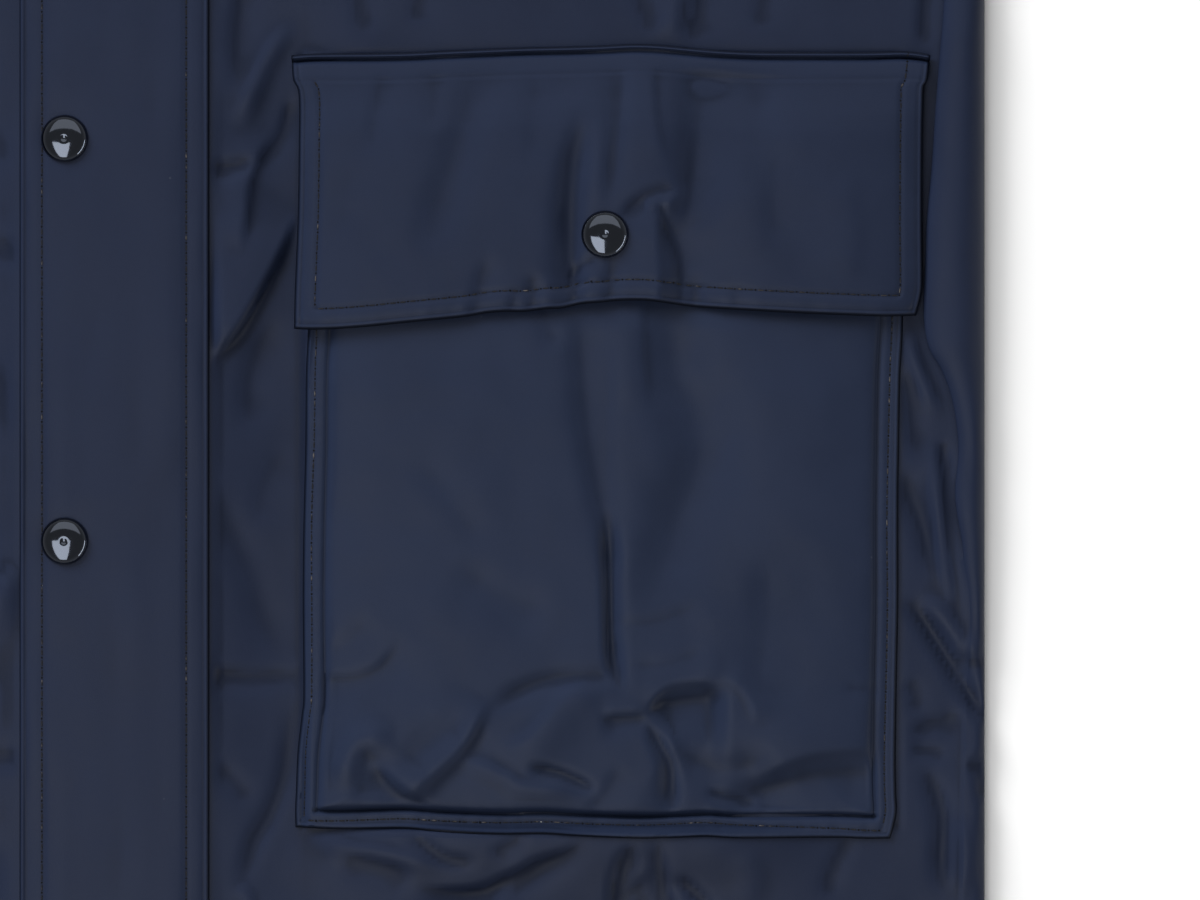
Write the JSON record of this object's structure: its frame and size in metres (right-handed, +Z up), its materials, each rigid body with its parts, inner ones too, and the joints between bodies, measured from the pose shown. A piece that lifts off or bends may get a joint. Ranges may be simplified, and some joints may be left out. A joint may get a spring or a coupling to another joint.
{
  "type": "kids raincoat",
  "caption": "Child's hooded raincoat in coated cloth, laid flat front up, with raglan sleeves, a storm flap with snaps, and patch pockets with snapped flaps.",
  "frame": {"origin": "centre of the laid coat's outline, on the surface that it lies on", "axes": "+X across the coat towards the wearer's left cuff, +Y from hem to hood, +Z up out of the front"},
  "size_m": [1.0938, 0.906, 0.0146],
  "materials": {
    "coated_cloth": "matte rubbery polyurethane coating, navy",
    "snap_cap": "glossy domed cap, navy"
  },
  "bodies": {
    "root": {"back": "coated_cloth", "front_left": "coated_cloth", "front_right": "coated_cloth", "sleeve_left_front": "coated_cloth", "sleeve_left_back": "coated_cloth", "sleeve_right_front": "coated_cloth", "sleeve_right_back": "coated_cloth", "hood_left": "coated_cloth", "hood_right": "coated_cloth", "storm_flap": "coated_cloth", "pocket_left": "coated_cloth", "pocket_right": "coated_cloth", "pocket_flap_left": "coated_cloth", "pocket_flap_right": "coated_cloth", "snap_pocket_left": "snap_cap", "snap_pocket_right": "snap_cap", "snap_front_1": "snap_cap", "snap_front_2": "snap_cap", "snap_front_3": "snap_cap", "snap_front_4": "snap_cap", "snap_front_5": "snap_cap"}
  },
  "joints": []
}
